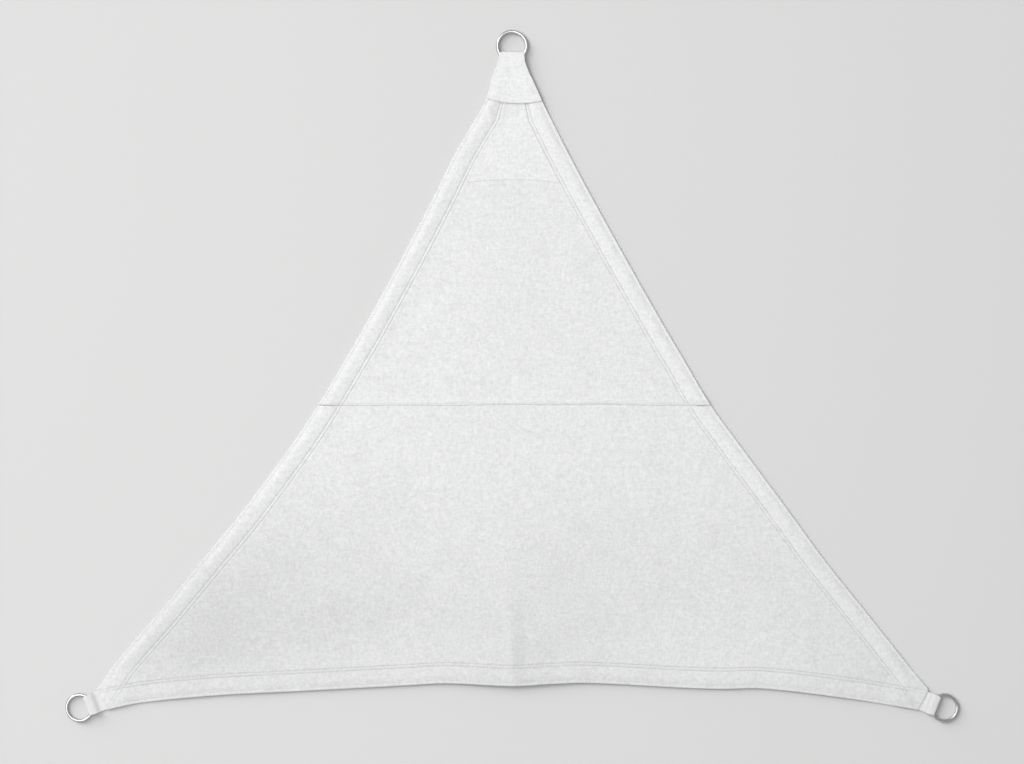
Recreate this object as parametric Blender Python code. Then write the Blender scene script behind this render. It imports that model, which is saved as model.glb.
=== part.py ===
"""A triangular shade sail, lying flat, with a round steel ring at each corner.

Metres, +Z up. The sail lies on Z = 0, with its long edge along X and its top corner towards +Y.
The origin is the middle of the whole outline, on the surface that the sail lies on.
Every piece of cloth is one closed solid: its hem is a thicker band along its edge, not a piece.
"""
import math

import bmesh
import bpy
from mathutils import Vector

MM = 0.001

# Driving dimensions. The ring centres set the size of the sail.
RING_SPAN = 2000 * MM       # between the centres of the two lower rings
RING_RISE = 1530 * MM       # from the lower ring centres up to the top one
TOP_RING = {"outer": 37.5 * MM, "wire": 4.0 * MM}
LOWER_RING = {"outer": 33.5 * MM, "wire": 3.5 * MM}
CLOTH = 1.5 * MM            # one layer of the canvas, with its coating
GAP = 0.3 * MM              # between pieces that lie on each other
WIRE_ROOM = 0.7 * MM        # above and below a ring's wire in its loop

# The panels. The upper one laps over the lower one along the seam.
SEAM_Y = -67 * MM
LAP = 18 * MM
LAP_SLOPE = 22 * MM         # over which the upper panel comes down from the lap
CORNER_Y = -725 * MM        # where the side edges meet the square ends of the lower corners
TUCK_Y = 688 * MM           # the upper panel's top end, inside the cap

# The patch at the top corner, which lies between the hems and reaches under the cap.
PATCH_LOW_Y = 447 * MM
PATCH_TOP_Y = 620 * MM
PATCH_ARCH = 7 * MM         # rise of its lower edge in the middle
PATCH_CLOTH = 1.2 * MM

# The cap at the top corner and the tabs at the lower ones, each a strip folded over a ring.
CAP_FOLD = 12.7 * MM        # from the ring's centre to the fold
CAP_FRONT_END = 129 * MM    # from the ring's centre to the end of the front leg
CAP_BACK_END = 130 * MM
CAP_SAG = 5 * MM            # the front edge is longer in the middle
TAB_FOLD = 15.2 * MM
TAB_END = 94 * MM
TAB_HALF_WIDTH = 20 * MM
TAB_TURN = math.radians(21.7)   # of a lower tab from the X axis
TAB_MEET = 48 * MM          # from the ring's centre to where a tab's legs meet
CORNER_LIFT_END = 150 * MM  # from the ring's centre to where the panel is down on the surface
FOLD_FLOOR = 0.3 * MM       # a fold lower than this lies flat on the surface

# Side edges of the sail, in millimetres, from the cap down to the lower corners.
SIDE_EDGES = (
    # y, left x, right x
    (688, -36, 40),
    (640, -58, 68),
    (520, -128, 129),
    (420, -178, 182),
    (270, -256, 265),
    (120, -338, 350),
    (30, -390, 403),
    (-68, -449, 461),
    (-160, -510, 528),
    (-310, -621, 639),
    (-426, -716, 724),
    (-536, -807, 812),
    (-658, -912, 909),
    (-725, -961, 963),
)

# Lower edge of the sail, in millimetres, from its left corner to its right one.
LOWER_EDGE = (
    # x, y
    (-938, -772),
    (-857, -756),
    (-685, -739),
    (-493, -729),
    (-248, -716),
    (-152, -711),
    (2, -717),
    (98, -712),
    (174, -710),
    (391, -721),
    (485, -724),
    (580, -723),
    (769, -745),
    (938, -772),
)

# Height of the hem over its underside, in millimetres, from the edge inwards.
HEM_PROFILE = (
    # distance from the edge, height
    (0, 2.6),
    (6, 3.0),
    (18, 5.6),
    (32, 4.2),
    (44, 2.4),
    (52, 1.5),
)

# Soft folds, in millimetres and degrees. Each is a low ridge where the cloth is off the surface.
FOLDS = (
    # x, y, half length, half width, turn, height
    (5, -640, 230, 150, 90, 5.0),
    (5, -650, 150, 14, 90, 1.5),
    (-770, -490, 210, 60, 129, 5.0),
    (-60, 230, 260, 110, 80, 2.5),
    (330, -380, 260, 140, 20, 2.0),
)

# Outline of the cap, in millimetres from the ring's centre towards the sail.
CAP_OUTLINE = (
    # along, left x, right x
    (12.7, -25, 25),
    (23, -29, 28),
    (37, -33, 30),
    (63, -42, 40),
    (78, -47, 47),
    (129, -60, 70),
)

UPPER_ROWS = 13
LOWER_ROWS = 11
UPPER_COLUMNS = 12
LOWER_COLUMNS = 26
PATCH_ROWS = 4
PATCH_COLUMNS = 8
STRIP_COLUMNS = 6
FOLD_STEPS = 8              # along the half circle of a loop
RING_STEPS = 28
WIRE_STEPS = 12

HEM = HEM_PROFILE[-1][0] * MM
HALF_DEPTH = (RING_RISE + TOP_RING["outer"] + LOWER_RING["outer"]) / 2
TOP_RING_Y = HALF_DEPTH - TOP_RING["outer"]
LOWER_RING_Y = LOWER_RING["outer"] - HALF_DEPTH
LEFT_RING = Vector((-RING_SPAN / 2, LOWER_RING_Y))
RIGHT_RING = Vector((RING_SPAN / 2, LOWER_RING_Y))
LEFT_WAY = Vector((math.cos(TAB_TURN), math.sin(TAB_TURN)))     # from the ring into the sail
RIGHT_WAY = Vector((-math.cos(TAB_TURN), math.sin(TAB_TURN)))
TONGUE = 2 * (CLOTH + GAP)  # height of a tab's two legs and the gap over them

CANVAS = {"colour": (0.86, 0.86, 0.85), "roughness": 0.9, "metallic": 0.0}
STEEL = {"colour": (0.72, 0.72, 0.73), "roughness": 0.15, "metallic": 1.0}


def clear_scene():
    for old in list(bpy.data.objects):
        bpy.data.objects.remove(old, do_unlink=True)


def ease(value):
    """0 to 1, with a level start and end."""
    value = min(1.0, max(0.0, value))
    return value * value * (3 - 2 * value)


def column(table, index):
    """One column of a table against its first, in metres and in rising order."""
    return sorted((row[0] * MM, row[index] * MM) for row in table)


def straight(pairs, at):
    """Value at a place on straight lines through the pairs, level past both ends."""
    if at <= pairs[0][0]:
        return pairs[0][1]
    for (start, low), (end, high) in zip(pairs, pairs[1:]):
        if at <= end:
            return low + (high - low) * (at - start) / (end - start)
    return pairs[-1][1]


def curved(pairs, at):
    """Value at a place on a smooth curve through the pairs."""
    last = len(pairs) - 1
    at = min(pairs[last][0], max(pairs[0][0], at))
    index = 0
    while index < last - 1 and at > pairs[index + 1][0]:
        index += 1

    def slope(point):
        before = pairs[max(0, point - 1)]
        after = pairs[min(last, point + 1)]
        return (after[1] - before[1]) / (after[0] - before[0])

    start, low = pairs[index]
    end, high = pairs[index + 1]
    span = end - start
    t = (at - start) / span
    rise = low + (high - low) * ease(t)
    bend = t * (1 - t) * ((1 - t) * slope(index) - t * slope(index + 1))
    return rise + bend * span


LEFT_EDGE = column(SIDE_EDGES, 1)
RIGHT_EDGE = column(SIDE_EDGES, 2)
BOTTOM_EDGE = column(LOWER_EDGE, 1)
HEM_HEIGHT = column(HEM_PROFILE, 1)


def side_x(edge, y):
    """Outer edge of the sail at a height: the side, then the square end of the lower corner."""
    if y >= CORNER_Y:
        return curved(edge, y)
    end_x, end_y = BOTTOM_EDGE[0] if edge is LEFT_EDGE else BOTTOM_EDGE[-1]
    share = min(1.0, (CORNER_Y - y) / (CORNER_Y - end_y))
    return edge[0][1] + (end_x - edge[0][1]) * share


def bottom_y(x):
    return curved(BOTTOM_EDGE, x)


def stretch(function, at):
    """How much longer a distance square to an edge is when it is measured along an axis."""
    step = 5 * MM
    slope = (function(at + step) - function(at - step)) / (2 * step)
    return math.sqrt(1 + slope * slope)


def hem_width(edge, y):
    """Width of the side hem along X, less where the sail is too narrow for two whole hems."""
    wide = HEM * stretch(lambda place: side_x(edge, place), max(y, CORNER_Y + 5 * MM))
    half = (side_x(RIGHT_EDGE, y) - side_x(LEFT_EDGE, y)) / 2
    return min(wide, half * 0.86)


def fold_lift(x, y):
    """How far the soft folds hold the cloth off the surface."""
    total = 0.0
    for fold_x, fold_y, half_length, half_width, turn, height in FOLDS:
        place = Vector((x - fold_x * MM, y - fold_y * MM))
        way = Vector((math.cos(math.radians(turn)), math.sin(math.radians(turn))))
        along = place.dot(way) / (half_length * MM)
        across = place.cross(way) / (half_width * MM)
        total += height * MM * math.exp(-along * along - across * across)
    return max(0.0, total - FOLD_FLOOR)


def corner_lift(x, y):
    """How far the tabs' tongues hold the lower corners up."""
    total = 0.0
    for ring, way in ((LEFT_RING, LEFT_WAY), (RIGHT_RING, RIGHT_WAY)):
        along = (Vector((x, y)) - ring).dot(way)
        total += TONGUE * ease((CORNER_LIFT_END - along) / (CORNER_LIFT_END - TAB_END - 5 * MM))
    return total


def hem_shares(x, y):
    """Distance from each side edge, as it would be in a hem of the full width."""
    left = (x - side_x(LEFT_EDGE, y)) * HEM / hem_width(LEFT_EDGE, y)
    right = (side_x(RIGHT_EDGE, y) - x) * HEM / hem_width(RIGHT_EDGE, y)
    return left, right


def lower_heights(x, y):
    """Underside and top of the lower panel, which is one flat layer where the upper one laps it."""
    below_lap = ease((SEAM_Y - 2 * MM - y) / LAP_SLOPE)
    low = (fold_lift(x, y) + corner_lift(x, y)) * below_lap
    left, right = hem_shares(x, y)
    under = (y - bottom_y(x)) / stretch(bottom_y, x)
    hem = straight(HEM_HEIGHT, max(0.0, min(left, right, under)))
    return low, low + CLOTH + (hem - CLOTH) * below_lap


def upper_heights(x, y):
    """Underside and top of the upper panel, which steps over the lap and over the cap's back leg."""
    over_lap = ease((SEAM_Y + LAP + 2 * MM + LAP_SLOPE - y) / LAP_SLOPE)
    over_cap = ease((y - (TOP_RING_Y - CAP_BACK_END - 40 * MM)) / (36 * MM))
    low = fold_lift(x, y) * (1 - over_lap) * (1 - over_cap)
    low += (CLOTH + GAP) * (over_lap + over_cap)
    left, right = hem_shares(x, y)
    hem = straight(HEM_HEIGHT, max(0.0, min(left, right)))
    return low, low + hem * (1 - 0.15 * over_cap)


def closed_sheet(name, grid, finish):
    """One closed solid from rows of (x, y, low, high)."""
    mesh = bpy.data.meshes.new(name)
    bm = bmesh.new()
    under = [[bm.verts.new((x, y, low)) for x, y, low, high in row] for row in grid]
    over = [[bm.verts.new((x, y, high)) for x, y, low, high in row] for row in grid]
    rows = len(grid)
    columns = len(grid[0])
    for r in range(rows - 1):
        for c in range(columns - 1):
            bm.faces.new((over[r][c], over[r][c + 1], over[r + 1][c + 1], over[r + 1][c]))
            bm.faces.new((under[r][c], under[r + 1][c], under[r + 1][c + 1], under[r][c + 1]))
    rim = [(0, c) for c in range(columns)]
    rim += [(r, columns - 1) for r in range(1, rows)]
    rim += [(rows - 1, c) for c in range(columns - 2, -1, -1)]
    rim += [(r, 0) for r in range(rows - 2, 0, -1)]
    for (r, c), (next_r, next_c) in zip(rim, rim[1:] + rim[:1]):
        bm.faces.new((over[r][c], under[r][c], under[next_r][next_c], over[next_r][next_c]))
    bmesh.ops.recalc_face_normals(bm, faces=bm.faces)
    bm.to_mesh(mesh)
    bm.free()
    return add_object(name, mesh, finish)


def add_object(name, mesh, finish):
    """Put a mesh in the scene with a material of its own."""
    piece = bpy.data.objects.new(name, mesh)
    bpy.context.scene.collection.objects.link(piece)
    material = bpy.data.materials.new(name + "_finish")
    material.use_nodes = True
    shader = material.node_tree.nodes["Principled BSDF"]
    shader.inputs["Base Color"].default_value = (*finish["colour"], 1.0)
    shader.inputs["Roughness"].default_value = finish["roughness"]
    shader.inputs["Metallic"].default_value = finish["metallic"]
    mesh.materials.append(material)
    mesh.shade_smooth()
    mesh.set_sharp_from_angle(angle=math.radians(40))
    return piece


def across_sail(y, middle_columns):
    """X places across the sail at a height: the left hem, the middle and the right hem."""
    left_hem = hem_width(LEFT_EDGE, y)
    right_hem = hem_width(RIGHT_EDGE, y)
    left = side_x(LEFT_EDGE, y)
    right = side_x(RIGHT_EDGE, y)
    shares = [row[0] * MM / HEM for row in HEM_PROFILE]
    places = [left + left_hem * share for share in shares]
    inner_left = places[-1]
    inner_right = right - right_hem
    for step in range(1, middle_columns):
        places.append(inner_left + (inner_right - inner_left) * step / middle_columns)
    places += [right - right_hem * share for share in reversed(shares)]
    return places


def make_upper_panel():
    cap_y = TOP_RING_Y - CAP_BACK_END
    rows = [SEAM_Y, SEAM_Y + LAP / 2, SEAM_Y + LAP + 2 * MM, SEAM_Y + LAP + LAP_SLOPE]
    first = rows[-1]
    last = cap_y - 40 * MM
    rows += [first + (last - first) * step / UPPER_ROWS for step in range(1, UPPER_ROWS + 1)]
    rows += [cap_y - 20 * MM, cap_y - 2 * MM, cap_y + 12 * MM, cap_y + 36 * MM, TUCK_Y]
    grid = []
    for y in rows:
        grid.append([(x, y, *upper_heights(x, y)) for x in across_sail(y, UPPER_COLUMNS)])
    closed_sheet("upper_panel", grid, CANVAS)


def lower_spot(index, share, height):
    """Place in column index, at a share of the way down to the hem or a height over the edge."""
    y = SEAM_Y
    for _ in range(12):
        x = across_sail(y, LOWER_COLUMNS)[index]
        edge = bottom_y(x)
        top = edge + height * stretch(bottom_y, x)
        y = top + (SEAM_Y - LAP_SLOPE - top) * (1 - share)
    return x, y


def make_lower_panel():
    columns = range(2 * len(HEM_PROFILE) + LOWER_COLUMNS - 1)
    grid = []
    for y in (SEAM_Y + LAP, SEAM_Y - 2 * MM, SEAM_Y - LAP_SLOPE / 2):
        grid.append([(x, y) for x in across_sail(y, LOWER_COLUMNS)])
    for step in range(LOWER_ROWS):
        grid.append([lower_spot(index, step / LOWER_ROWS, HEM) for index in columns])
    for distance, _ in reversed(HEM_PROFILE):
        grid.append([lower_spot(index, 1.0, distance * MM) for index in columns])
    solid = [[(x, y, *lower_heights(x, y)) for x, y in row] for row in grid]
    closed_sheet("lower_panel", solid, CANVAS)


def make_apex_patch():
    grid = []
    for step in range(PATCH_ROWS + 1):
        share = step / PATCH_ROWS
        row = []
        for index in range(PATCH_COLUMNS + 1):
            across = 2 * index / PATCH_COLUMNS - 1
            low_y = PATCH_LOW_Y + PATCH_ARCH * (1 - across * across)
            y = low_y + (PATCH_TOP_Y - low_y) * share
            left = side_x(LEFT_EDGE, y) + hem_width(LEFT_EDGE, y) + GAP
            right = side_x(RIGHT_EDGE, y) - hem_width(RIGHT_EDGE, y) - GAP
            x = left + (right - left) * index / PATCH_COLUMNS
            low = upper_heights(x, y)[1] + GAP
            row.append((x, y, low, low + PATCH_CLOTH))
        grid.append(row)
    closed_sheet("apex_patch", grid, CANVAS)


def loop_path(ring, fold, front_end, back_end, meet, rest_height):
    """Middle line of a strip folded over a ring's wire, as (along, height), front leg first.

    The back leg lies on the surface. The front leg comes down from the wire to rest_height.
    """
    room = ring["wire"] + WIRE_ROOM
    radius = room + CLOTH / 2
    centre = fold + CLOTH + room
    level = CLOTH + room
    wire = ring["outer"] - ring["wire"]
    path = [(front_end, rest_height), ((front_end + meet) / 2, rest_height)]
    slope_steps = 6
    for step in range(slope_steps + 1):
        share = step / slope_steps
        along = meet + (wire - 1 * MM - meet) * share
        path.append((along, rest_height + (level + radius - rest_height) * ease(share)))
    for step in range(FOLD_STEPS + 1):
        angle = math.pi * (0.5 + step / FOLD_STEPS)
        path.append((centre + radius * math.cos(angle), level + radius * math.sin(angle)))
    path += [(wire, CLOTH / 2), (meet, CLOTH / 2), (back_end, CLOTH / 2)]
    return path


def normals(path):
    """Unit normals of a line of (along, height) points, to the outside of the fold."""
    out = []
    for index in range(len(path)):
        before = Vector(path[max(0, index - 1)])
        after = Vector(path[min(len(path) - 1, index + 1)])
        way = (after - before).normalized()
        out.append(Vector((way.y, -way.x)))
    return out


def folded_strip(name, path, limits, sag, ring_place, turn, finish):
    """A strip of cloth folded over a ring, as wide at each place along as limits says."""
    mesh = bpy.data.meshes.new(name)
    bm = bmesh.new()
    outside = []
    inside = []
    for index, ((along, height), normal) in enumerate(zip(path, normals(path))):
        left, right = limits(along)
        outer = []
        inner = []
        for step in range(STRIP_COLUMNS + 1):
            share = step / STRIP_COLUMNS
            x = left + (right - left) * share
            longer = sag * (1 - (2 * share - 1) ** 2) if index == 0 else 0.0
            for side, line in ((1, outer), (-1, inner)):
                place = along + longer + side * normal.x * CLOTH / 2
                line.append(bm.verts.new((x, -place, height + side * normal.y * CLOTH / 2)))
        outside.append(outer)
        inside.append(inner)
    rows = len(path)
    for r in range(rows - 1):
        for c in range(STRIP_COLUMNS):
            for face in (outside, inside):
                bm.faces.new((face[r][c], face[r][c + 1], face[r + 1][c + 1], face[r + 1][c]))
        for c in (0, STRIP_COLUMNS):
            bm.faces.new((outside[r][c], outside[r + 1][c], inside[r + 1][c], inside[r][c]))
    for r in (0, rows - 1):
        for c in range(STRIP_COLUMNS):
            bm.faces.new((outside[r][c], outside[r][c + 1], inside[r][c + 1], inside[r][c]))
    bmesh.ops.recalc_face_normals(bm, faces=bm.faces)
    bm.to_mesh(mesh)
    bm.free()
    piece = add_object(name, mesh, finish)
    piece.location = (ring_place.x, ring_place.y, 0.0)
    piece.rotation_euler = (0.0, 0.0, turn)
    return piece


def cap_limits(along):
    left = straight(column(CAP_OUTLINE, 1), along)
    right = straight(column(CAP_OUTLINE, 2), along)
    return left, right


def tab_limits(along):
    return -TAB_HALF_WIDTH, TAB_HALF_WIDTH


def make_cap():
    over_panel = 2 * (CLOTH + GAP) + HEM_PROFILE[2][1] * MM * 0.85 + CLOTH / 2 - CLOTH
    path = loop_path(TOP_RING, CAP_FOLD, CAP_FRONT_END, CAP_BACK_END, 66 * MM, over_panel)
    folded_strip("top_cap", path, cap_limits, CAP_SAG, Vector((0.0, TOP_RING_Y)), 0.0, CANVAS)


def make_tabs():
    rest = CLOTH + GAP + CLOTH / 2
    for name, place, turn in (
        ("left_tab", LEFT_RING, math.pi / 2 + TAB_TURN),
        ("right_tab", RIGHT_RING, -math.pi / 2 - TAB_TURN),
    ):
        path = loop_path(LOWER_RING, TAB_FOLD, TAB_END, TAB_END, TAB_MEET, rest)
        folded_strip(name, path, tab_limits, 0.0, place, turn, CANVAS)


def make_ring(name, ring, place, turn):
    """A round ring that lies on the surface at its outer side and in its loop at the other."""
    radius = ring["outer"] - ring["wire"]
    near_height = CLOTH + WIRE_ROOM + ring["wire"]
    tilt = math.asin((near_height - ring["wire"]) / (2 * radius))
    bpy.ops.mesh.primitive_torus_add(
        major_radius=radius,
        minor_radius=ring["wire"],
        major_segments=RING_STEPS,
        minor_segments=WIRE_STEPS,
    )
    added = bpy.context.object
    mesh = added.data
    bpy.data.objects.remove(added, do_unlink=True)
    piece = add_object(name, mesh, STEEL)
    piece.location = (place.x, place.y, (near_height + ring["wire"]) / 2)
    piece.rotation_euler = (-tilt, 0.0, turn)


def make_rings():
    make_ring("top_ring", TOP_RING, Vector((0.0, TOP_RING_Y)), 0.0)
    make_ring("left_ring", LOWER_RING, LEFT_RING, math.pi / 2 + TAB_TURN)
    make_ring("right_ring", LOWER_RING, RIGHT_RING, -math.pi / 2 - TAB_TURN)


clear_scene()
make_lower_panel()
make_upper_panel()
make_apex_patch()
make_cap()
make_tabs()
make_rings()
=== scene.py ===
# %% [markdown]
# # A triangular shade sail, laid out flat
# The sail is two panels of off-white canvas joined by a lapped seam. Its three edges are hollowed and
# hemmed, its top corner has a patch and a cap, its lower corners have folded tabs, and each corner
# holds a welded steel ring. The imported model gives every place; this script makes what the eye sees.

# %% Load the frame
import math

import bpy
import numpy as np
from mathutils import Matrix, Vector


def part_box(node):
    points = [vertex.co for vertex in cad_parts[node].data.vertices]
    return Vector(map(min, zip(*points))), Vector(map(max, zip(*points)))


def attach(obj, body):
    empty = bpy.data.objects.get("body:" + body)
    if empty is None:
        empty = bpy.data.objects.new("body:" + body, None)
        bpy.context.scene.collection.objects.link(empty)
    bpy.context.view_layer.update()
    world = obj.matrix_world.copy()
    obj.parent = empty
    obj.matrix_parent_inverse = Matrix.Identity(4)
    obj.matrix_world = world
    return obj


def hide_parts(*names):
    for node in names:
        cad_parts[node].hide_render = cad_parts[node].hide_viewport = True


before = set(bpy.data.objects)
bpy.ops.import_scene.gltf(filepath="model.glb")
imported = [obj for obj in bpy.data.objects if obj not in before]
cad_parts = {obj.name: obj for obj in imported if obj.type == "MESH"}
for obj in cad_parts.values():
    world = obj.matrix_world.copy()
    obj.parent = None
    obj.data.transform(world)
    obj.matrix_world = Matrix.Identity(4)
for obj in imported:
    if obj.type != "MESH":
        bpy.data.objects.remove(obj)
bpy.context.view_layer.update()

MM = 0.001

# %% [markdown]
# ## Helpers
# Three things come back all the way through. Colours are written as the hex codes that a colour
# picker shows, but shaders want linear light, so one function turns them. Shader nodes are always
# made alike, so one function adds any of them. An operator acts on all that is selected, so the
# selection is cleared before each new piece.

# %% Colours, nodes and the selection
def linear(code):
    """Linear colour from an sRGB hex code."""
    parts = [int(code[i:i + 2], 16) / 255 for i in (0, 2, 4)]
    return [p / 12.92 if p <= 0.04045 else ((p + 0.055) / 1.055) ** 2.4 for p in parts]


def add_node(tree, kind, settings=None, values=None, links=None):
    """One shader node with its settings, input values and links, each a dictionary."""
    node = tree.nodes.new(kind)
    for name, value in (settings or {}).items():
        setattr(node, name, value)
    for name, value in (values or {}).items():
        node.inputs[name].default_value = value
    for name, socket in (links or {}).items():
        tree.links.new(socket, node.inputs[name])
    return node


def deselect_all():
    for thing in bpy.context.selected_objects:
        thing.select_set(False)


print("mid grey in linear light", [round(part, 3) for part in linear("808080")])

# %% [markdown]
# ## Camera
# The sail lies face up, so the camera looks straight down. A long lens from far off keeps the rings
# at the corners round, where a short one would lean them outwards. The distance follows from the
# width that the view should cover.

# %% Camera
VIEW_WIDTH = 2370 * MM
VIEW_DROP = 13.8 * MM       # the view's middle is this far below the sail's
LENS = 85.0
SENSOR = 36.0

camera_data = bpy.data.cameras.new("camera")
camera_data.lens = LENS
camera_data.sensor_width = SENSOR
camera_data.clip_end = 50.0
camera = bpy.data.objects.new("camera", camera_data)
bpy.context.scene.collection.objects.link(camera)
camera.location = (0.0, -VIEW_DROP, VIEW_WIDTH * LENS / SENSOR)
bpy.context.scene.camera = camera
bpy.context.scene.view_settings.view_transform = "Standard"
print("camera height", round(camera.location.z, 2), "m")

# %% [markdown]
# ## Lights
# One broad soft light overhead does most of the work, and it also puts the bright line along the
# rings. A weak sun from the upper left is the key: it gives the hems a bright and a dark side. A
# third light, low and wide, lays the soft shadow beside the right and lower edges. It would carve up
# the cloth if it fell there, so light linking, in the floor's cell, lets it reach the floor alone.

# %% Lights
def aim_at_sail(lamp, place):
    """Put a light at a place, facing the middle of the sail."""
    lamp.location = place
    lamp.rotation_euler = (-Vector(place)).to_track_quat("-Z", "Y").to_euler()


def add_lamp(name, kind, place):
    """A light of a kind, aimed at the sail. Its strength and size are set on its data."""
    lamp = bpy.data.objects.new(name, bpy.data.lights.new(name, kind))
    bpy.context.scene.collection.objects.link(lamp)
    aim_at_sail(lamp, place)
    return lamp


def add_sun(name, toward, elevation, spread, strength):
    """A sun whose light travels toward (x, y), at an elevation and an angular size in degrees."""
    rise = math.tan(math.radians(elevation)) * math.hypot(*toward)
    lamp = add_lamp(name, "SUN", (-toward[0] * 4, -toward[1] * 4, rise * 4))
    lamp.data.energy = strength
    lamp.data.angle = math.radians(spread)
    return lamp


overhead = add_lamp("overhead", "AREA", (-2.1, 0.5, 5.4))
overhead.data.shape = "RECTANGLE"
overhead.data.size = 6.4
overhead.data.size_y = 4.8
overhead.data.energy = 246.0
key = add_sun("key", (0.80, -0.60), 38.0, 12.0, 0.55)
shadow_lamp = add_sun("shadow_side", (0.78, -0.63), 19.0, 40.0, 4.35)

world = bpy.data.worlds.new("room")
bpy.context.scene.world = world
world.use_nodes = True
world.node_tree.nodes["Background"].inputs["Color"].default_value = (*linear("f4f6f8"), 1.0)
world.node_tree.nodes["Background"].inputs["Strength"].default_value = 0.42
print("lights", [lamp.name for lamp in (overhead, key, shadow_lamp)])

# %% [markdown]
# ## Floor
# A plain pale surface, matt, so that no reflection competes with the cloth. It fills the view from
# above, but from a low angle its far edges show. One light reaches it that doesn't reach the cloth,
# so its paint is a darker grey than it looks.

# %% Floor
deselect_all()
bpy.ops.mesh.primitive_plane_add(size=14.0, location=(0.0, 0.0, 0.0))
floor = bpy.context.object
floor.name = "floor"
floor_paint = bpy.data.materials.new("matt_floor_paint")
floor_paint.use_nodes = True
floor_shader = floor_paint.node_tree.nodes["Principled BSDF"]
floor_shader.inputs["Base Color"].default_value = (*linear("bbbbba"), 1.0)
floor_shader.inputs["Roughness"].default_value = 0.95
floor_shader.inputs["Specular IOR Level"].default_value = 0.1
floor.data.materials.append(floor_paint)

floor_only = bpy.data.collections.new("floor_only")
floor_only.objects.link(floor)
shadow_lamp.light_linking.receiver_collection = floor_only
print("floor", tuple(round(side, 1) for side in floor.dimensions), "lit alone by", shadow_lamp.name)

# %% [markdown]
# ## Woven cloth
# The canvas is a plain-weave polyester: matt, a little fuzzy, with slubs, which are thick places in
# the yarn, along both thread directions. Noise stretched along X and along Y gives slubs and threads,
# and the same sum drives the tone and the bump, so that they agree. Object coordinates carry it,
# because the cloth lies flat. The true 1 mm thread spacing is too fine to show, so it is drawn at
# about 4 mm. Where a hem or a lap puts more layers under the face, less of the surface below shows
# through, and the cloth is a touch lighter: an attribute, layers, carries that. A second attribute
# holds painted shade in a pulled-down stitch line, where it partly stands for the thread's grey, and
# along a cut edge. A third holds broad painted shade on cloth that stands off the surface, with
# painted light in a few places.

# %% Weave and slubs
WEAVE_MM = 4.2
SLUB_THICK_MM = 9.0
SLUB_LONG_MM = 42.0
BLOTCH_MM = 75.0            # slow unevenness of the finish
THREAD_RUN = 0.45           # a thread shows this share as often along itself as across


def weave_height(tree, place, weave_mm):
    """Sum of the slubs, threads and blotches, about 0 on average."""
    thick, long, threads = 1000 / SLUB_THICK_MM, 1000 / SLUB_LONG_MM, 1000 / weave_mm
    patterns = (
        # scale along X, Y and Z, detail, roughness, weight
        ((long, thick, long), 3.0, 0.62, 0.65),
        ((thick, long, long), 3.0, 0.62, 0.65),
        ((threads * THREAD_RUN, threads, threads), 1.0, 0.5, 2.2),
        ((threads, threads * THREAD_RUN, threads), 1.0, 0.5, 2.2),
        ((1000 / BLOTCH_MM,) * 3, 2.0, 0.5, 0.7),
    )
    total = add_node(tree, "ShaderNodeValue").outputs[0]
    total.default_value = -sum(pattern[-1] for pattern in patterns) / 2
    for scale, detail, roughness, weight in patterns:
        turned = add_node(tree, "ShaderNodeMapping", values={"Scale": scale}, links={"Vector": place})
        noise = add_node(
            tree, "ShaderNodeTexNoise",
            values={"Scale": 1.0, "Detail": detail, "Roughness": roughness},
            links={"Vector": turned.outputs["Vector"]},
        )
        total = add_node(
            tree, "ShaderNodeMath", {"operation": "MULTIPLY_ADD"}, {1: weight},
            {0: noise.outputs["Fac"], 2: total},
        ).outputs[0]
    return total


print("weave", WEAVE_MM, "mm, slubs", SLUB_THICK_MM, "by", SLUB_LONG_MM, "mm")

# %% [markdown]
# ## Tone of the cloth
# Fuzz shows as a weak sheen, and the yarn's own gloss is almost none, which leaves a plain matt
# shader with a high roughness. Its colour is the yarn's, scaled by the weave, by the layers, and by
# the painted shade and painted light that the other two attributes carry.

# %% Woven cloth
WEAVE_TONE = 0.108          # how far the weave lightens and darkens the cloth
LAYER_GAIN = 0.03
# how far painted shade in a stitch line or along an edge darkens the cloth
GROOVE_SHADE_DEPTH = 0.17


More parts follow.
